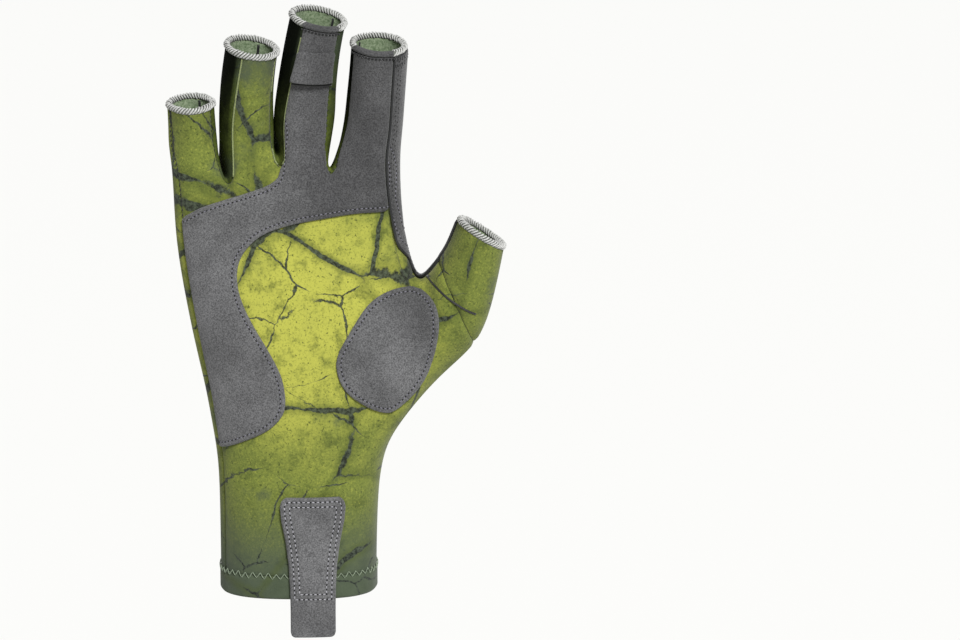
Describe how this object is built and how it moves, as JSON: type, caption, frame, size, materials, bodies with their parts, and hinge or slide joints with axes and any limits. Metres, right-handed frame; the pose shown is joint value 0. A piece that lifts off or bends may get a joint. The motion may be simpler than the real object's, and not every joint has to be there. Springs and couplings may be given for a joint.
{
  "type": "fingerless fishing glove",
  "caption": "Thin printed stretch-knit glove for the right hand with open fingertips, grey microfibre grip patches and a pull tab at the cuff.",
  "frame": {"origin": "middle of the cuff's opening, level with the hem's lower edge, where the hand goes in", "axes": "+Z from the wrist to the fingertips, -Y out of the palm, +X towards the thumb"},
  "size_m": [0.1435, 0.0545, 0.2648],
  "materials": {
    "printed_knit": "matt polyester knit, printed yellow-green with dark cracks",
    "dark_knit": "matt polyester knit, dark green",
    "hem_knit": "matt polyester knit, slate green, zigzag stitched",
    "microfibre": "grey brushed microfibre",
    "overlock_thread": "light grey overlock thread"
  },
  "bodies": {
    "root": {"back_panel": "printed_knit", "palm_panel": "printed_knit", "ring_little_front": "printed_knit", "thumb_sleeve": "printed_knit", "little_ring_fourchette": "dark_knit", "ring_middle_fourchette": "dark_knit", "middle_index_fourchette": "dark_knit", "cuff_hem": "hem_knit", "palm_grip": "microfibre", "thumb_heel_pad": "microfibre", "thumb_guard": "microfibre", "middle_finger_band": "microfibre", "pull_tab": "microfibre", "little_edge": "overlock_thread", "ring_edge": "overlock_thread", "middle_edge": "overlock_thread", "index_edge": "overlock_thread", "thumb_edge": "overlock_thread"}
  },
  "joints": []
}
